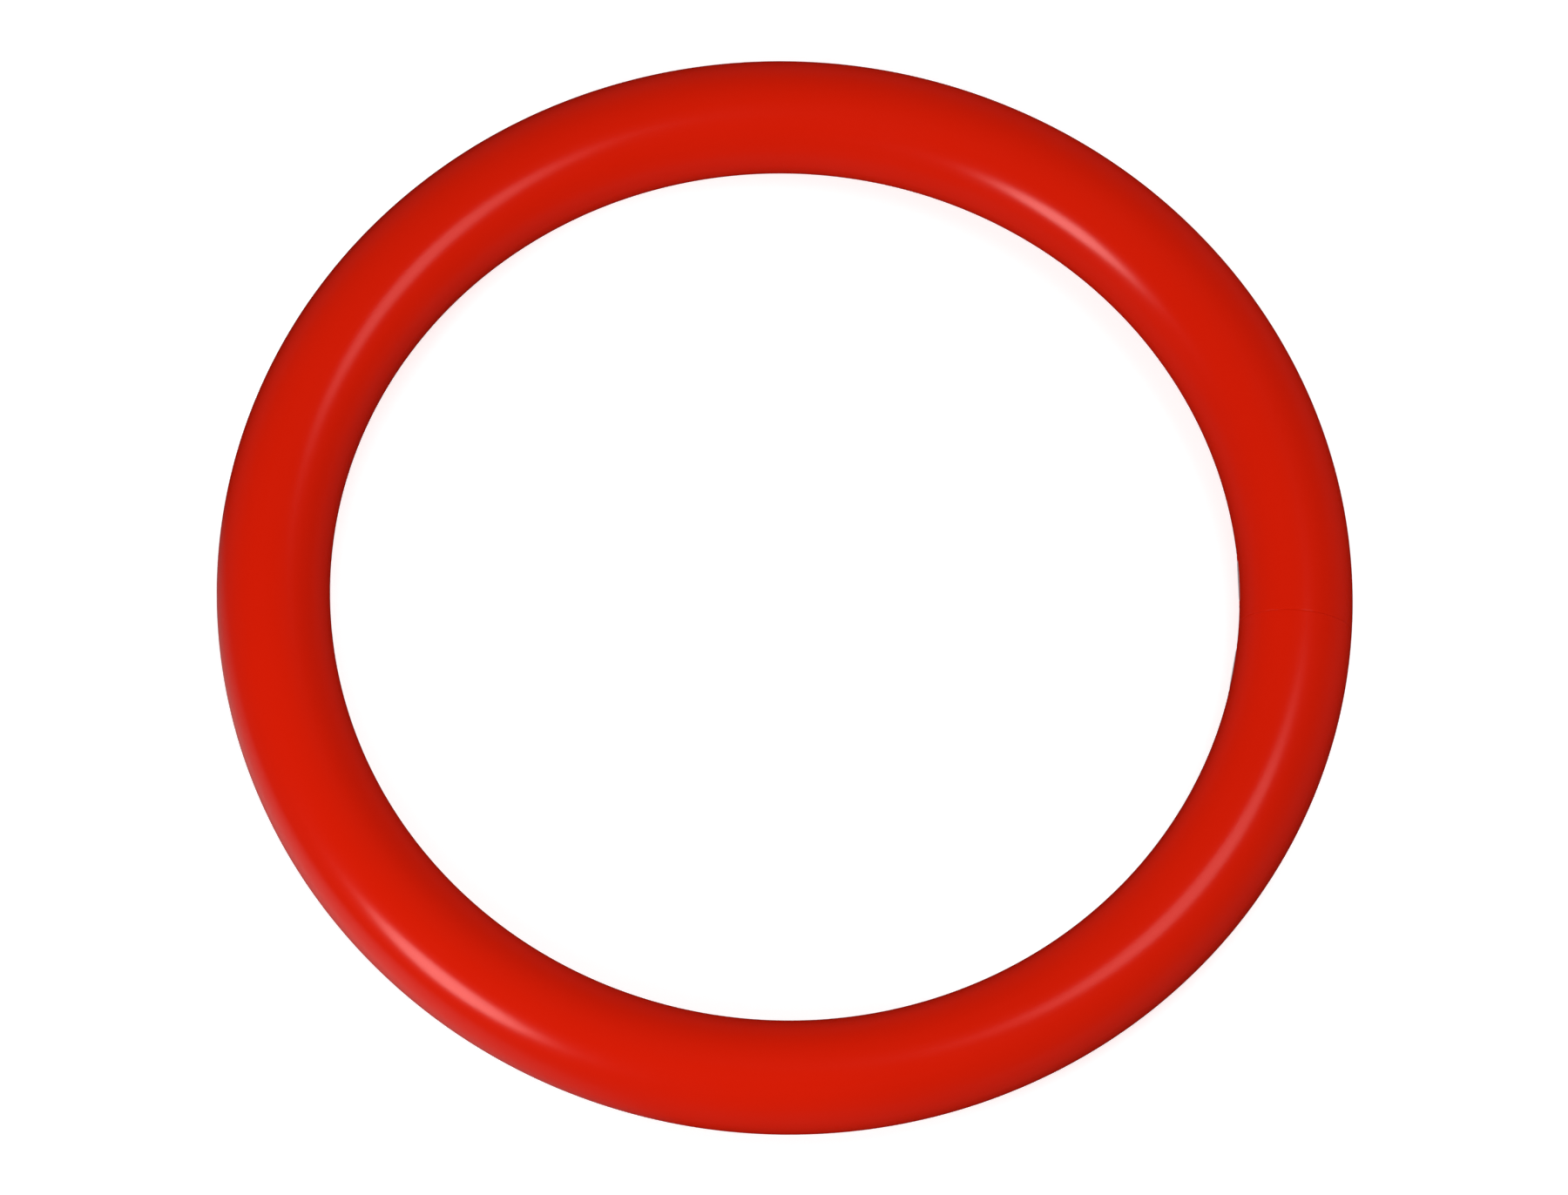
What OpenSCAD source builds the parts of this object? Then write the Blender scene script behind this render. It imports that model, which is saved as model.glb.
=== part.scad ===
// Juggling ring of round section: a hollow plastic tube bent into a circle, its two cut ends
// butted together over a hidden plug that is held by a staple on each side of the seam.
//
// Millimetres. The ring lies flat in the XY plane with its centre at the origin, +Z is its
// axis of symmetry, and the seam faces +X.

/* [Ring] */
// Outside diameter of the ring
ring_od = 240; // [200:1:360]
// Outside diameter of the round tube
tube_od = 24; // [18:0.5:32]
// Wall thickness of the tube
tube_wall = 2; // [1.4:0.1:3]

/* [Seam] */
// Hairline left between the two cut ends of the tube
seam_gap = 0.1; // [0.05:0.05:0.4]
// Bevel on the outer edge of each cut end
end_bevel = 0.2; // [0.1:0.05:0.5]

/* [Joint plug] */
// Length of the plug along the centreline of the tube
plug_length = 46; // [42:1:80]
// Gap all round between the plug and the bore of the tube
plug_clearance = 0.1; // [0.05:0.05:0.3]
// Wall thickness of the hollow plug between its barbs
plug_wall = 1.5; // [1.2:0.1:2.5]
// Length of the plain collar under the seam
collar_length = 5; // [3:0.5:8]
// Number of barbs on each side of the collar
barb_count = 4; // [2:1:4]
// Length of one barb
barb_length = 2.4; // [1.5:0.1:2.6]
// Height of a barb above the core of the plug
barb_height = 0.8; // [0.4:0.1:1.2]
// Length of the tapered nose at each end
nose_length = 4; // [2:0.5:6]
// How much the nose narrows over its length, on the radius
nose_taper = 0.8; // [0.4:0.1:0.9]

/* [Staples] */
// Length of the crown of a staple
crown_length = 10; // [7:0.5:12]
// Length of a leg, from the outside of the crown to its point
leg_length = 6.5; // [5.5:0.5:9]
// Thickness of the flat wire
wire_thickness = 0.6; // [0.4:0.1:0.8]
// Width of the flat wire
wire_width = 1.2; // [0.8:0.1:1.6]
// Outer radius of the bend between the crown and a leg
bend_radius = 1.1; // [0.9:0.1:1.5]
// Length of the chisel point on a leg
point_length = 1.2; // [0.5:0.1:1.5]
// How far the middle of the crown stands proud of the tube
crown_proud = 0.15; // [0:0.05:0.3]
// Distance from the seam to the middle of a staple, along the inside of the ring
staple_offset = 10; // [8:0.5:12]
// Gap all round a driven staple
drive_clearance = 0.02; // [0.01:0.01:0.05]

/* [Hidden] */
$fn = 120;

// Tube: centreline circle, outer and bore radius of the section, radius of the hole in the ring
tube_r = tube_od / 2;
bore_r = tube_r - tube_wall;
centre_r = ring_od / 2 - tube_r;
hole_r = centre_r - tube_r;

// Seam: half of its gap, as an angle round the ring, and how far its cutter reaches past the tube
half_gap_deg = arc_deg(seam_gap / 2, centre_r);
cut_over = 0.5;

// Plug: radius over the collar and the barbs, radius of the core and of its bore, where the
// nose starts, and how deep and how long a barb or a nose is rooted in the core
plug_r = bore_r - plug_clearance;
core_r = plug_r - barb_height;
plug_bore_r = core_r - plug_wall;
nose_start = plug_length / 2 - nose_length;
root_depth = 0.2;
root_length = 1;

// Barbs: distance from one to the next, each in the middle of its share of the core
barb_pitch = (nose_start - collar_length / 2) / barb_count;
barb_start = collar_length / 2 + (barb_pitch - barb_length) / 2;

// Angle round the ring of a length measured along a circle of the given radius
function arc_deg(length, radius) = length / radius * 180 / PI;

// Turns and shifts its children so that their Z axis runs along the tube, at a distance along
// the centreline from the seam
module on_centreline(distance) {
    rotate([0, 0, arc_deg(distance, centre_r)])
        translate([centre_r, 0, 0])
            rotate([-90, 0, 0])
                children();
}

// Sweeps a section, drawn about the origin, along the centreline to each side of the seam
module sweep_from_seam(half_length) {
    half_deg = arc_deg(half_length, centre_r);
    rotate([0, 0, -half_deg])
        rotate_extrude(angle = 2 * half_deg)
            translate([centre_r, 0])
                children();
}

// Cutter for the bevels on both cut ends of the tube, a shallow V round the seam
module seam_bevel() {
    root_half = seam_gap / 2;
    rim_half = root_half + end_bevel + cut_over;
    on_centreline(0)
        rotate_extrude()
            polygon([
                [tube_r - end_bevel, -root_half],
                [tube_r + cut_over, -rim_half],
                [tube_r + cut_over, rim_half],
                [tube_r - end_bevel, root_half]
            ]);
}

// Outline of a block with two rounded corners at its front: it runs from x = front to x = back
// and reaches half_width to each side
module round_fronted(front, back, half_width, corner_r) {
    translate([front + corner_r, -half_width])
        square([back - front - corner_r, 2 * half_width]);
    translate([front, corner_r - half_width])
        square([back - front, 2 * (half_width - corner_r)]);
    for (side = [-1, 1])
        translate([front + corner_r, side * (half_width - corner_r)])
            circle(corner_r);
}

// Staple outline: the crown runs along Y with its outside at x = 0, the legs point to +X and
// end in chisel points, and grow makes the wire thicker all round
module staple_outline(grow) {
    outside = crown_length / 2 + grow;
    inside = crown_length / 2 - wire_thickness - grow;
    tip = leg_length + grow;
    difference() {
        round_fronted(-grow, tip, outside, bend_radius + grow);
        round_fronted(wire_thickness + grow, tip + cut_over, inside, bend_radius - wire_thickness - grow);
        polygon([
            [tip - point_length, -inside],
            [tip, -outside],
            [tip, outside],
            [tip - point_length, inside]
        ]);
    }
}

// Staple in its place on the inside of the ring, side is 1 or -1
module placed_staple(side, grow = 0) {
    width = wire_width + 2 * grow;
    rotate([0, 0, side * arc_deg(staple_offset, hole_r)])
        translate([hole_r - crown_proud, 0, -width / 2])
            linear_extrude(width)
                staple_outline(grow);
}

// The holes that both staples make as they are driven
module staple_holes() {
    for (side = [-1, 1])
        placed_staple(side, drive_clearance);
}

// Round tube bent into a ring, with bevelled cut ends and the holes of the staples
module ring_tube() {
    color([0.81, 0.11, 0.01])
        difference() {
            rotate([0, 0, half_gap_deg])
                rotate_extrude(angle = 360 - 2 * half_gap_deg)
                    translate([centre_r, 0])
                        difference() {
                            circle(tube_r);
                            circle(bore_r);
                        }
            seam_bevel();
            staple_holes();
        }
}

// Barbs and nose on one side of the plug, narrow towards the end that is pushed in first
module plug_barbs() {
    for (i = [0 : barb_count - 1])
        on_centreline(barb_start + i * barb_pitch)
            cylinder(h = barb_length, r1 = plug_r, r2 = core_r - root_depth);
    on_centreline(nose_start)
        rotate_extrude()
            polygon([
                [0, -root_length],
                [core_r - root_depth, -root_length],
                [core_r - root_depth, 0],
                [core_r - nose_taper, nose_length],
                [0, nose_length]
            ]);
}

// Hollow moulded plug with a collar under the seam, barbs along it and a nose at each end
module joint_plug() {
    color([0.93, 0.91, 0.86])
        difference() {
            union() {
                sweep_from_seam(nose_start)
                    circle(core_r);
                sweep_from_seam(collar_length / 2)
                    circle(plug_r);
                for (side = [0, 1])
                    mirror([0, side, 0])
                        plug_barbs();
            }
            sweep_from_seam(plug_length / 2 + cut_over)
                circle(plug_bore_r);
            staple_holes();
        }
}

// Flat-wire staple on the +Y side of the seam
module staple_a() {
    color([0.72, 0.72, 0.74])
        placed_staple(1);
}

// Flat-wire staple on the -Y side of the seam
module staple_b() {
    color([0.72, 0.72, 0.74])
        placed_staple(-1);
}

ring_tube();
joint_plug();
staple_a();
staple_b();
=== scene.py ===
"""Looks of a round-section juggling ring: glossy red tube, hairline seam, two driven staples.

The ring lies flat with its centre at the origin, +Z is its axis and the seam faces +X. Metres
throughout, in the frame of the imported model.
"""

import math

import bpy
import numpy as np
from mathutils import Matrix, Vector


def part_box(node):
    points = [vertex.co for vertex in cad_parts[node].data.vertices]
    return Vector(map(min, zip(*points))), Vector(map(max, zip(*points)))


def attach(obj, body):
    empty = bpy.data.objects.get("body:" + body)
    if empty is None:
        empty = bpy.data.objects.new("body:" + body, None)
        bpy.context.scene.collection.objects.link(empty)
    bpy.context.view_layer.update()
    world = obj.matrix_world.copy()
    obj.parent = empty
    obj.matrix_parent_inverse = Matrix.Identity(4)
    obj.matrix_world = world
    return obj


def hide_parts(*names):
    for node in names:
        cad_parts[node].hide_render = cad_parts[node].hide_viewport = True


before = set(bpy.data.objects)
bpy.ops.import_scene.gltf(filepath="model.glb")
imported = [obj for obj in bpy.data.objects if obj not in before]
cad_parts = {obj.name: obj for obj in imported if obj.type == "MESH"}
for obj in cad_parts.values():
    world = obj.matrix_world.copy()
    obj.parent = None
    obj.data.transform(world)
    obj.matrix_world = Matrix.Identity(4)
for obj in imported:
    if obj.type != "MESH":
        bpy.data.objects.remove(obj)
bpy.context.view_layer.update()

MM = 0.001
FULL_TURN = 2 * math.pi

# ---- Sizes read from the frame ------------------------------------------------------------------


def corners(node):
    """A node's vertices as an array of points."""
    return np.array([v.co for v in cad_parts[node].data.vertices], float)


tube_low, tube_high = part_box("ring_tube")
OUTER_R = np.linalg.norm(corners("ring_tube")[:, :2], axis=1).max()
TUBE_R = min(-tube_low.z, tube_high.z)
CENTRE_R = OUTER_R - TUBE_R
HOLE_R = CENTRE_R - TUBE_R
FLOOR_Z = tube_low.z

# ---- Sizes of the detail ------------------------------------------------------------------------

# Tube: its wall, the line left at the seam and the rounding of each cut end
WALL = 2.0 * MM
SEAM_GAP = 0.002 * MM
LIP_R = 0.09 * MM

# Staple: flat wire, its rounded edges, its bends, and its points, which keep a share of their thickness
WIRE_THICKNESS = 0.6 * MM
WIRE_CORNER_R = 0.14 * MM
WIRE_BEND_R = 1.1 * MM
LEG_POINT = 1.2 * MM
LEG_TIP_SHARE = 0.12

# Hollow that a driven staple leaves: flat for a margin round the wire, then a slope up to a ridge
DIMPLE_DEPTH = 0.16 * MM
DIMPLE_MARGIN = 0.12 * MM
DIMPLE_SLOPE = 0.45 * MM
DIMPLE_RIDGE = 0.05 * MM

# Rings of points along the tube: close together up to this many half lengths of a staple past its
# middle, then far apart, and those on the bore and on each lip
NEAR_PITCH = 0.25 * MM
NEAR_REACH = 1.6
FAR_RINGS = 540
BORE_RINGS = 180
LIP_POINTS = 6

# Points round the tube: close together in a band on its inner side, and far apart elsewhere
BAND_HALF = 1.9 * MM
BAND_PITCH = 0.16 * MM
SECTION_POINTS = 84
SAME_ANGLE = 1e-9

# Number of points along a staple's leg, bend and half crown, and on each edge of its wire
LEG_POINTS = 6
BEND_POINTS = 9
CROWN_POINTS = 8
EDGE_POINTS = 4

# ---- Colours and finishes -----------------------------------------------------------------------

# Red tube: its two tints, the colour of its shine, its roughness, and the relief of its skin
RED_DEEP = (0.555, 0.0082, 0.0001, 1)
RED_BRIGHT = (0.605, 0.0096, 0.0002, 1)
RED_GLINT = (1.0, 0.50, 0.48, 1)
RED_IOR = 1.46
RED_ROUGHNESS = (0.17, 0.23)
WAVE_ROUGHNESS = 0.04
WAVE_HEIGHT = 0.03 * MM
PEEL_HEIGHT = 0.0012 * MM
DRAWN_HEIGHT = 0.0015 * MM
DRAWN_STRETCH = 50.0

# Plug of uncoloured plastic
NATURAL_DARK = (0.80, 0.77, 0.69, 1)
NATURAL_LIGHT = (0.88, 0.86, 0.80, 1)
NATURAL_ROUGHNESS = (0.42, 0.56)
NATURAL_GRAIN = 0.02 * MM

# Staples of drawn steel wire
STEEL_DARK = (0.56, 0.56, 0.57, 1)
STEEL_LIGHT = (0.70, 0.70, 0.71, 1)
STEEL_ROUGHNESS = (0.36, 0.52)
STEEL_METALLIC = 0.45
STEEL_LINE = 0.01 * MM
STEEL_STRETCH = (1, 0.06, 1)

# Range of a noise that a mix of two finishes runs over
CLOUD = (0.3, 0.7)

# ---- Camera and light ---------------------------------------------------------------------------

# Camera: its angle, its distance, the ring's centreline radius as a share of the view's width,
# and how far it aims to the left of the ring's centre and below it
CAMERA_ELEVATION = 69.8
CAMERA_ROLL = 4.0
CAMERA_DISTANCE = 40.7 * CENTRE_R
CENTRE_R_SHARE = 0.3262
AIM_LEFT = 0.21 * MM
AIM_BELOW = 0.86 * MM
CLIP_END = 10 * CAMERA_DISTANCE
SENSOR = 36.0

# Lamps: distance and radius of the softboxes, spread of the broad lights in degrees
LAMP_DISTANCE = 1.0
LAMP_RADIUS = 0.20
SKY_SPREAD = 50

# Floor: white paint, its own glow and its half side
FLOOR_WHITE = 0.75
FLOOR_GLOW = 0.55
FLOOR_HALF = 400 * OUTER_R

# Painted reflection: a bright patch painted on the floor that only the gloss sees, for the band
# of reflection on the tube's rim: its place, its fade outwards from its middle, and its fade in at
# the rim of the ring
REFLECTION_PATCH_AZIMUTH = -53
REFLECTION_PATCH_DISTANCE = 1.2 * OUTER_R
REFLECTION_PATCH_BRIGHTNESS = 0.6
REFLECTION_PATCH_FADE = (0.2 * OUTER_R, 0.9 * OUTER_R)
REFLECTION_PATCH_RIM = (0.95 * OUTER_R, 1.1 * OUTER_R)

# Light from all round: its strength from below and from above, and the blend at the horizon
LIGHT_BELOW = 0.66
LIGHT_ABOVE = 0.30
HORIZON = 0.2
WHITE = (1, 1, 1, 1)


def direction(azimuth, elevation):
    """Unit vector from the ring: azimuth 0 points to -Y and 90 to +X, elevation is above the floor."""
    a, e = math.radians(azimuth), math.radians(elevation)
    return Vector((math.sin(a) * math.cos(e), -math.cos(a) * math.cos(e), math.sin(e)))


def make_camera():
    """Long-lens camera above the front of the ring, rolled so that the ring's right side is lower."""
    data = bpy.data.cameras.new("camera")
    data.sensor_width = SENSOR
    data.lens = SENSOR * CENTRE_R_SHARE * CAMERA_DISTANCE / CENTRE_R
    data.clip_end = CLIP_END
    camera = bpy.data.objects.new("camera", data)
    bpy.context.scene.collection.objects.link(camera)
    back = direction(0, CAMERA_ELEVATION)
    roll = Matrix.Rotation(math.radians(CAMERA_ROLL), 3, "Z")
    turn = (-back).to_track_quat("-Z", "Y").to_matrix() @ roll
    camera.rotation_mode = "QUATERNION"
    camera.rotation_quaternion = turn.to_quaternion()
    camera.location = back * CAMERA_DISTANCE - turn.col[0] * AIM_LEFT - turn.col[1] * AIM_BELOW
    bpy.context.scene.camera = camera


def add_light(name, data, azimuth, elevation, glossy=True):
    """Links a light that shines on the ring's centre and stays out of the camera's view."""
    light = bpy.data.objects.new(name, data)
    bpy.context.scene.collection.objects.link(light)
    towards = direction(azimuth, elevation)
    light.location = towards * LAMP_DISTANCE
    light.rotation_mode = "QUATERNION"
    light.rotation_quaternion = towards.to_track_quat("Z", "Y")
    light.visible_camera = False
    light.visible_glossy = glossy


def disc_light(name, azimuth, elevation, power):
    """Round softbox whose reflection makes the streaks of highlight on the tube."""
    data = bpy.data.lights.new(name, "AREA")
    data.shape = "DISK"
    data.size = 2 * LAMP_RADIUS
    data.energy = power
    add_light(name, data, azimuth, elevation)


def sky_light(name, azimuth, elevation, strength):
    """Broad, even light with no reflection of its own."""
    data = bpy.data.lights.new(name, "SUN")
    data.angle = math.radians(SKY_SPREAD)
    data.energy = strength
    data.cycles.use_multiple_importance_sampling = False
    add_light(name, data, azimuth, elevation, glossy=False)


def make_lights():
    disc_light("key_left", azimuth=-46, elevation=29, power=3.8)
    disc_light("key_right", azimuth=93, elevation=65, power=1.30)
    sky_light("front_left", azimuth=-10, elevation=40, strength=1.12)
    sky_light("back_right", azimuth=155, elevation=52, strength=1.06)


# ---- Node helpers -------------------------------------------------------------------------------


class Graph:
    """Short calls for building a node tree."""

    # Places of the colour sockets on a mix node
    COLOUR_A, COLOUR_B, COLOUR_RESULT = 6, 7, 2

    def __init__(self, tree):
        self.tree = tree
        tree.nodes.clear()

    def node(self, kind, **settings):
        made = self.tree.nodes.new(kind)
        for key, value in settings.items():
            setattr(made, key, value)
        return made

    def link(self, source, target):
        self.tree.links.new(source, target)

    def feed(self, target, value):
        """Links a socket, or sets a constant on the input."""
        if isinstance(value, bpy.types.NodeSocket):
            self.link(value, target)
        else:
            target.default_value = value

    def position(self):
        """Place on the surface, in metres."""
        return self.node("ShaderNodeTexCoord").outputs["Object"]

    def math(self, operation, *values):
        made = self.node("ShaderNodeMath", operation=operation)
        for i, value in enumerate(values):
            self.feed(made.inputs[i], value)
        return made.outputs[0]

    def noise(self, vector, scale, detail):
        made = self.node("ShaderNodeTexNoise")
        self.link(vector, made.inputs["Vector"])
        made.inputs["Scale"].default_value = scale
        made.inputs["Detail"].default_value = detail
        return made.outputs["Fac"]

    def span(self, value, source, result):
        """Maps the range source to the range result, clamped."""
        made = self.node("ShaderNodeMapRange")
        self.link(value, made.inputs["Value"])
        for key, number in zip(("From Min", "From Max", "To Min", "To Max"), source + result):
            made.inputs[key].default_value = number
        return made.outputs["Result"]

    def mix(self, factor, a, b):
        made = self.node("ShaderNodeMix", data_type="RGBA")
        self.feed(made.inputs["Factor"], factor)
        self.feed(made.inputs[self.COLOUR_A], a)
        self.feed(made.inputs[self.COLOUR_B], b)
        return made.outputs[self.COLOUR_RESULT]

    def bump(self, height, distance, normal=None):
        """Bump of unit height over a distance in metres, laid over another normal if one is given."""
        made = self.node("ShaderNodeBump")
        made.inputs["Distance"].default_value = distance
        self.link(height, made.inputs["Height"])
        if normal:
            self.link(normal, made.inputs["Normal"])
        return made.outputs["Normal"]


def new_material(name):
    """A new material, its node tree and its shader, which is linked to the output."""
    material = bpy.data.materials.new(name)
    material.use_nodes = True
    graph = Graph(material.node_tree)
    shader = graph.node("ShaderNodeBsdfPrincipled")
    output = graph.node("ShaderNodeOutputMaterial")
    graph.link(shader.outputs["BSDF"], output.inputs["Surface"])
    return material, graph, shader


def along_tube(graph, position):
    """Coordinates on the tube's skin: round the tube, and along it in stretched metres."""
    parts = graph.node("ShaderNodeSeparateXYZ")
    graph.link(position, parts.inputs[0])
    x, y, z = parts.outputs
    square = graph.math("ADD", graph.math("MULTIPLY", x, x), graph.math("MULTIPLY", y, y))
    away = graph.math("SUBTRACT", graph.math("SQRT", square), CENTRE_R)
    tube_angle = graph.math("ARCTAN2", away, z)
    ring_angle = graph.math("ARCTAN2", graph.math("MULTIPLY", y, -1.0), graph.math("MULTIPLY", x, -1.0))
    along = graph.node("ShaderNodeCombineXYZ")
    graph.link(graph.math("MULTIPLY", tube_angle, TUBE_R), along.inputs[0])
    graph.link(graph.math("MULTIPLY", ring_angle, CENTRE_R / DRAWN_STRETCH), along.inputs[1])
    return along.outputs[0]


# ---- Materials ----------------------------------------------------------------------------------


def red_plastic():
    """Glossy coloured plastic: drifting tint, a slightly wavy skin and fine lines drawn along the tube."""
    material, graph, shader = new_material("red_plastic")
    position = graph.position()
    drift = graph.noise(position, scale=16, detail=2)
    wave = graph.noise(position, scale=85, detail=2)
    peel = graph.noise(position, scale=900, detail=2)
    drawn = graph.noise(along_tube(graph, position), scale=700, detail=3)
    graph.link(graph.mix(drift, RED_DEEP, RED_BRIGHT), shader.inputs["Base Color"])
    gloss = graph.span(drawn, (0.0, 1.0), RED_ROUGHNESS)
    graph.link(graph.math("MULTIPLY_ADD", wave, WAVE_ROUGHNESS, gloss), shader.inputs["Roughness"])
    bent = graph.bump(wave, WAVE_HEIGHT)
    bent = graph.bump(peel, PEEL_HEIGHT, bent)
    graph.link(graph.bump(drawn, DRAWN_HEIGHT, bent), shader.inputs["Normal"])
    shader.inputs["IOR"].default_value = RED_IOR
    shader.inputs["Specular Tint"].default_value = RED_GLINT
    return material


def plug_plastic():
    """Uncoloured moulded plastic, dull and slightly uneven."""
    material, graph, shader = new_material("natural_plastic")
    position = graph.position()
    cloud = graph.noise(position, scale=160, detail=4)
    grain = graph.noise(position, scale=2600, detail=2)
    colour = graph.mix(graph.span(cloud, CLOUD, (0, 1)), NATURAL_DARK, NATURAL_LIGHT)
    graph.link(colour, shader.inputs["Base Color"])
    graph.link(graph.span(cloud, CLOUD, NATURAL_ROUGHNESS), shader.inputs["Roughness"])
    graph.link(graph.bump(grain, NATURAL_GRAIN), shader.inputs["Normal"])
    return material


def staple_steel():
    """Drawn steel wire with fine lines along it and a slightly clouded coating."""
    material, graph, shader = new_material("drawn_steel")
    position = graph.position()
    stretch = graph.node("ShaderNodeMapping")
    graph.link(position, stretch.inputs["Vector"])
    stretch.inputs["Scale"].default_value = STEEL_STRETCH
    lines = graph.noise(stretch.outputs[0], scale=9000, detail=3)
    cloud = graph.noise(position, scale=1300, detail=3)
    colour = graph.mix(graph.span(cloud, CLOUD, (0, 1)), STEEL_DARK, STEEL_LIGHT)
    graph.link(colour, shader.inputs["Base Color"])
    graph.link(graph.span(lines, CLOUD, STEEL_ROUGHNESS), shader.inputs["Roughness"])
    graph.link(graph.bump(lines, STEEL_LINE), shader.inputs["Normal"])
    shader.inputs["Metallic"].default_value = STEEL_METALLIC
    return material


def floor_paint():
    """White paint; to the gloss, a painted reflection: dark, but for a bright patch outside the ring at
    its front left.
    """
    material, graph, shader = new_material("floor")
    position = graph.position()
    away = graph.node("ShaderNodeVectorMath", operation="DISTANCE")
    graph.link(position, away.inputs[0])
    away.inputs[1].default_value = direction(REFLECTION_PATCH_AZIMUTH, 0) * REFLECTION_PATCH_DISTANCE + Vector((0, 0, FLOOR_Z))
    from_centre = graph.node("ShaderNodeVectorMath", operation="LENGTH")
    graph.link(position, from_centre.inputs[0])
    # Painted reflection: the bright patch, fading out from its middle and in at the ring's rim
    fade = graph.span(away.outputs["Value"], REFLECTION_PATCH_FADE, (REFLECTION_PATCH_BRIGHTNESS, 0))
    outside = graph.span(from_centre.outputs["Value"], REFLECTION_PATCH_RIM, (0, REFLECTION_PATCH_BRIGHTNESS))
    painted_reflection = graph.math("MINIMUM", fade, outside)
    # Gloss rays see only the painted reflection; all other rays see the white paint and its glow
    plain = graph.math("SUBTRACT", 1.0, graph.node("ShaderNodeLightPath").outputs["Is Glossy Ray"])
    shown = graph.math("MAXIMUM", graph.math("MULTIPLY", plain, FLOOR_WHITE), painted_reflection)
    graph.link(shown, shader.inputs["Base Color"])
    shader.inputs["Roughness"].default_value = 1.0
    shader.inputs["Specular IOR Level"].default_value = 0.0
    shader.inputs["Emission Color"].default_value = WHITE
    graph.link(graph.math("MULTIPLY", plain, FLOOR_GLOW), shader.inputs["Emission Strength"])
    return material


# ---- Meshes -------------------------------------------------------------------------------------


def mesh_object(name, points, faces, material):
    """A new mesh in the scene, with one material."""
    mesh = bpy.data.meshes.new(name)
    mesh.from_pydata(points, [], faces)
    mesh.materials.append(material)
    made = bpy.data.objects.new(name, mesh)
    bpy.context.scene.collection.objects.link(made)
    return made


def make_piece(name, points, faces, material, node):
    """A smooth-shaded mesh that rides with the ring and stands for a node of the frame."""
    piece = mesh_object(name, points.tolist(), faces, material)
    piece.data.polygons.foreach_set("use_smooth", [True] * len(faces))
    piece.data.update()
    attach(piece, "root")
    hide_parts(node)


def grid_faces(rings, sides, closed):
    """Quads between neighbouring rings of points; closed joins the last ring to the first."""
    faces = []
    for i in range(rings if closed else rings - 1):
        a, b = i * sides, (i + 1) % rings * sides
        for j in range(sides):
            k = (j + 1) % sides
            faces.append((a + j, a + k, b + k, b + j))
    return faces


class Staple:
    """Where a staple lies, in its own frame: x away from the middle of the hole, y along the tube."""

    def __init__(self, node):
        points = corners(node)
        self.node = node
        self.angle = math.atan2(points[:, 1].mean(), points[:, 0].mean())
        self.turn = Matrix.Rotation(self.angle, 3, "Z")
        local = points @ np.array(self.turn)
        self.front, self.tip = local[:, 0].min(), local[:, 0].max()
        self.half_length = (local[:, 1].max() - local[:, 1].min()) / 2
        self.half_width = (local[:, 2].max() - local[:, 2].min()) / 2


def dimple(points, staples):
    """How far the plastic is pushed in at each point of the tube, less the ridge thrown up round it."""
    depth = np.zeros(len(points))
    for staple in staples:
        local = points @ np.array(staple.turn)
        past_end = np.maximum(np.abs(local[:, 1]) - staple.half_length, 0)
        past_side = np.maximum(np.abs(local[:, 2]) - staple.half_width, 0)
        away = np.hypot(past_end, past_side) - DIMPLE_MARGIN
        fall = np.clip(1 - away / DIMPLE_SLOPE, 0, 1)
        pressed = DIMPLE_DEPTH * fall**2 * (3 - 2 * fall)
        ridge = DIMPLE_RIDGE * np.exp(-(((away - DIMPLE_SLOPE) / (DIMPLE_SLOPE / 2)) ** 2))
        near = local[:, 0] > 0
        depth += np.where(near, pressed - ridge, 0)
    return depth


def tube_rings(staples):
    """Rings of points as (angle round the ring, radius from the centreline): lip, skin, lip, bore."""
    half_gap = SEAM_GAP / 2 / CENTRE_R
    lip = []
    for turn in np.radians(np.linspace(0, 90, LIP_POINTS)):
        angle = half_gap + LIP_R * (1 - math.cos(turn)) / CENTRE_R
        lip.append((angle, TUBE_R - LIP_R * (1 - math.sin(turn))))
    near = max(abs(s.angle) for s in staples) + NEAR_REACH * staples[0].half_length / HOLE_R
    fine = np.arange(lip[-1][0], near, NEAR_PITCH / HOLE_R)[1:]
    coarse = np.linspace(near, FULL_TURN - near, FAR_RINGS)
    skin = [(angle, TUBE_R) for angle in np.concatenate([fine, coarse, FULL_TURN - fine[::-1]])]
    far_lip = [(FULL_TURN - angle, radius) for angle, radius in reversed(lip)]
    bore = [(angle, TUBE_R - WALL) for angle in np.linspace(FULL_TURN - half_gap, half_gap, BORE_RINGS)]
    return lip + skin + far_lip + bore


def tube_section():
    """Angles round the tube, close together in the band that the staples are driven into."""
    band = BAND_HALF / TUBE_R
    wide = np.linspace(math.pi + band, math.pi + FULL_TURN - band, SECTION_POINTS) % FULL_TURN
    close = np.arange(math.pi - band, math.pi + band, BAND_PITCH / TUBE_R)
    angles = np.unique(np.concatenate([wide, close]))
    return angles[np.append(True, np.diff(angles) > SAME_ANGLE)]


def tube_points(angles, section, radii):
    """Points at angles round the ring and round the tube, at radii from the tube's centreline."""
    away = CENTRE_R + radii * np.cos(section)
    return np.stack([away * np.cos(angles), away * np.sin(angles), radii * np.sin(section)], axis=1)


def make_tube(staples):
    """The hollow tube as one closed grid, pushed in where the staples are driven."""
    rings = tube_rings(staples)
    around = tube_section()
    angles = np.repeat([angle for angle, _ in rings], len(around))
    radii = np.repeat([radius for _, radius in rings], len(around))
    section = np.tile(around, len(rings))
    inner_skin = (radii > TUBE_R - LIP_R / 2) & (np.cos(section) < 0)
    depth = np.where(inner_skin, dimple(tube_points(angles, section, radii), staples), 0)
    points = tube_points(angles, section, radii - depth)
    faces = grid_faces(len(rings), len(around), closed=True)
    make_piece("tube_skin", points, faces, red_plastic(), "ring_tube")


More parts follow.
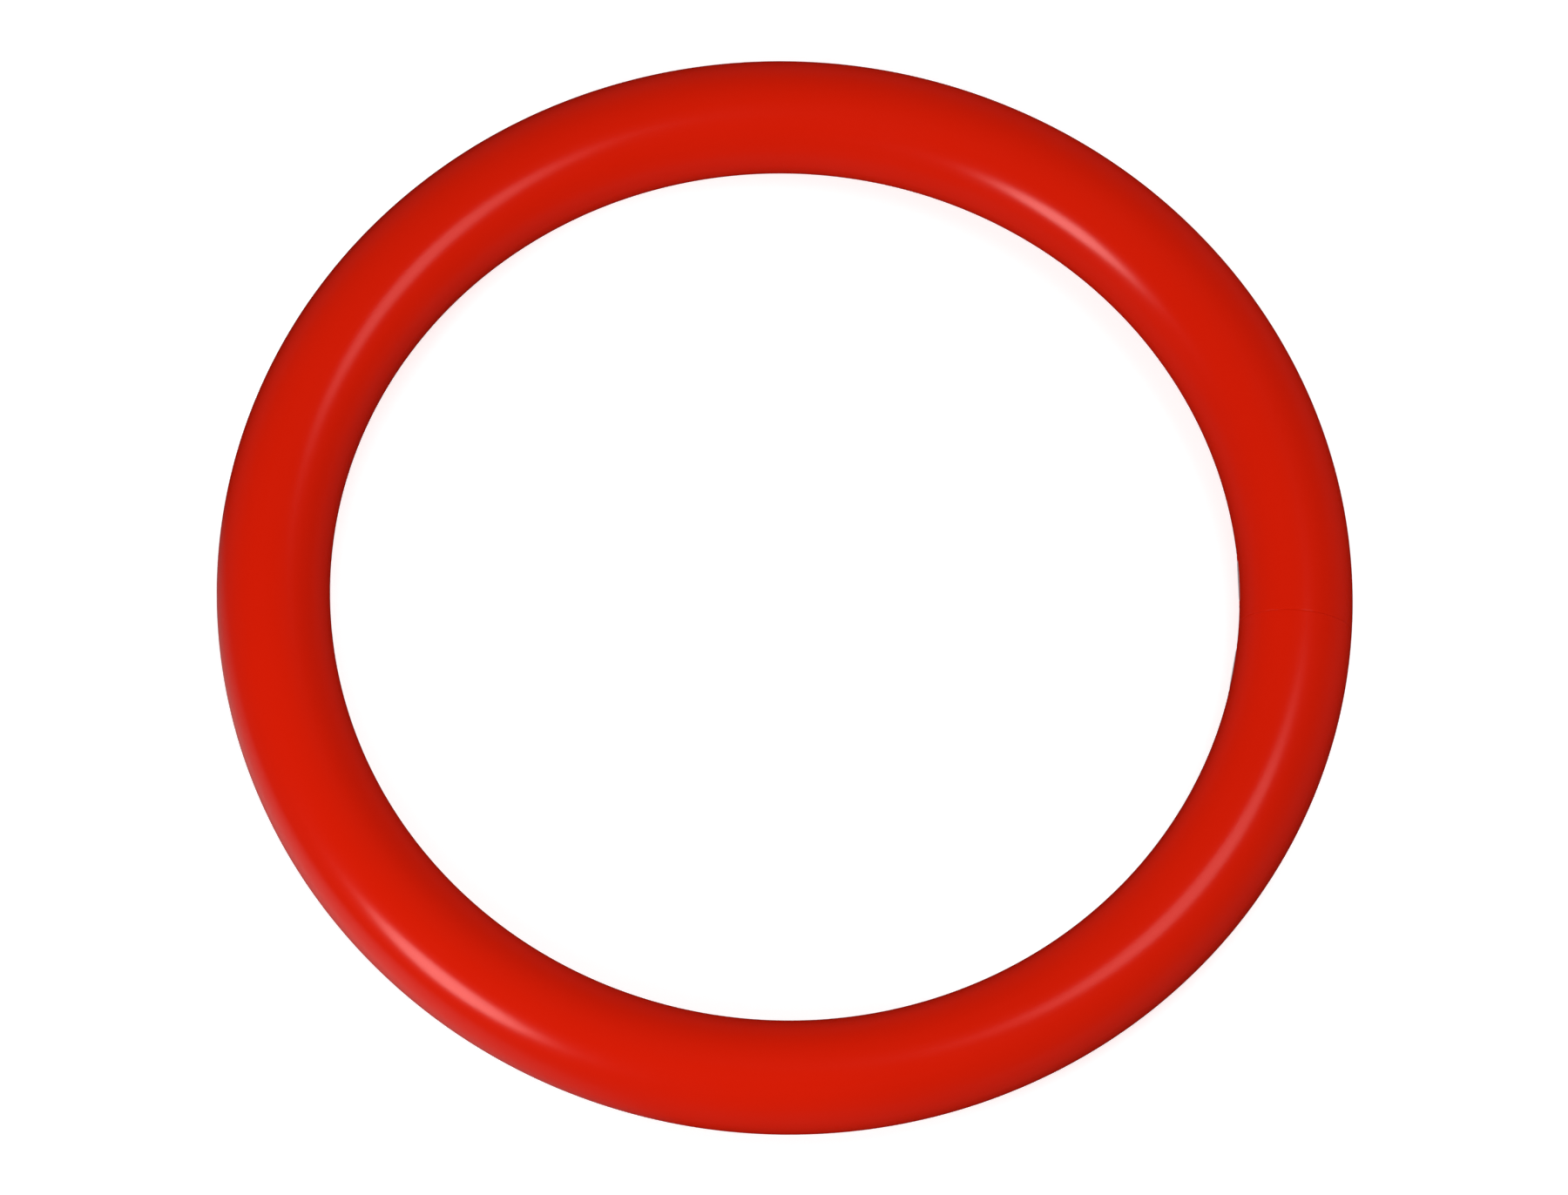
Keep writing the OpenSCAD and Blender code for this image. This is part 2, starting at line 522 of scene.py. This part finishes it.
def wire_path(staple):
    """Centreline of the wire in the staple's frame, and the way its outside faces at each point."""
    r = WIRE_BEND_R - WIRE_THICKNESS / 2
    x_bend = staple.front + WIRE_BEND_R
    y_bend = staple.half_length - WIRE_BEND_R
    leg = np.linspace(staple.tip - LEG_POINT, x_bend, LEG_POINTS)[:-1]
    path = [((x, y_bend + r), (0, 1)) for x in leg]
    for turn in np.radians(np.linspace(90, 180, BEND_POINTS)):
        nx, ny = math.cos(turn), math.sin(turn)
        path.append(((x_bend + r * nx, y_bend + r * ny), (nx, ny)))
    path += [((x_bend - r, y), (-1, 0)) for y in np.linspace(y_bend, 0, CROWN_POINTS)[1:]]
    mirrored = [((x, -y), (nx, -ny)) for (x, y), (nx, ny) in reversed(path[:-1])]
    return path + mirrored


def wire_section(half_width, half_thickness):
    """Rounded rectangle as (across, outward) offsets."""
    section = []
    for side, face, start in ((1, 1, 0), (-1, 1, 90), (-1, -1, 180), (1, -1, 270)):
        for turn in np.radians(np.linspace(start, start + 90, EDGE_POINTS)):
            across = side * (half_width - WIRE_CORNER_R) + WIRE_CORNER_R * math.cos(turn)
            outward = face * (half_thickness - WIRE_CORNER_R) + WIRE_CORNER_R * math.sin(turn)
            section.append((across, outward))
    return section


def chisel_point(staple, section, side):
    """Last ring of points of a leg, thinned towards its outside."""
    outside = side * staple.half_length
    thinned = side * LEG_TIP_SHARE
    return [(staple.tip, outside - thinned * (WIRE_THICKNESS / 2 - o), z) for z, o in section]


def make_staple(staple, material):
    """Flat wire with rounded edges, bent twice, its legs cut to chisel points."""
    section = wire_section(staple.half_width, WIRE_THICKNESS / 2)
    rings = [[(x + nx * o, y + ny * o, z) for z, o in section] for (x, y), (nx, ny) in wire_path(staple)]
    rings = [chisel_point(staple, section, 1)] + rings + [chisel_point(staple, section, -1)]
    points = np.array(rings).reshape(-1, 3) @ np.array(staple.turn).T
    sides = len(section)
    faces = grid_faces(len(rings), sides, closed=False)
    faces.append(tuple(range(sides))[::-1])
    faces.append(tuple(range(len(points) - sides, len(points))))
    make_piece(staple.node + "_wire", points, faces, material, staple.node)


# ---- Stage --------------------------------------------------------------------------------------


def make_floor():
    """Wide white table under the ring that throws no light back up at it."""
    ends = (-FLOOR_HALF, FLOOR_HALF)
    square = [(x, y, FLOOR_Z) for y in ends for x in ends]
    floor = mesh_object("floor", square, [(0, 1, 3, 2)], floor_paint())
    floor.visible_diffuse = False


def make_world():
    """Soft light from all round, stronger from below, and a white backdrop that the gloss doesn't see."""
    world = bpy.data.worlds.new("world")
    bpy.context.scene.world = world
    world.cycles_visibility.glossy = False
    world.use_nodes = True
    graph = Graph(world.node_tree)
    parts = graph.node("ShaderNodeSeparateXYZ")
    graph.link(graph.node("ShaderNodeTexCoord").outputs["Generated"], parts.inputs[0])
    lit = graph.span(parts.outputs[2], (-HORIZON, HORIZON), (LIGHT_BELOW, LIGHT_ABOVE))
    camera_ray = graph.node("ShaderNodeLightPath").outputs["Is Camera Ray"]
    background = graph.node("ShaderNodeBackground")
    output = graph.node("ShaderNodeOutputWorld")
    graph.link(graph.mix(camera_ray, lit, WHITE), background.inputs["Color"])
    graph.link(background.outputs[0], output.inputs["Surface"])


# ---- Scene --------------------------------------------------------------------------------------

make_camera()
staples = [Staple("staple_a"), Staple("staple_b")]
make_tube(staples)
steel = staple_steel()
for staple in staples:
    make_staple(staple, steel)
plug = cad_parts["joint_plug"]
plug.data.materials.clear()
plug.data.materials.append(plug_plastic())
make_floor()
make_world()
make_lights()
bpy.context.scene.view_settings.view_transform = "Standard"
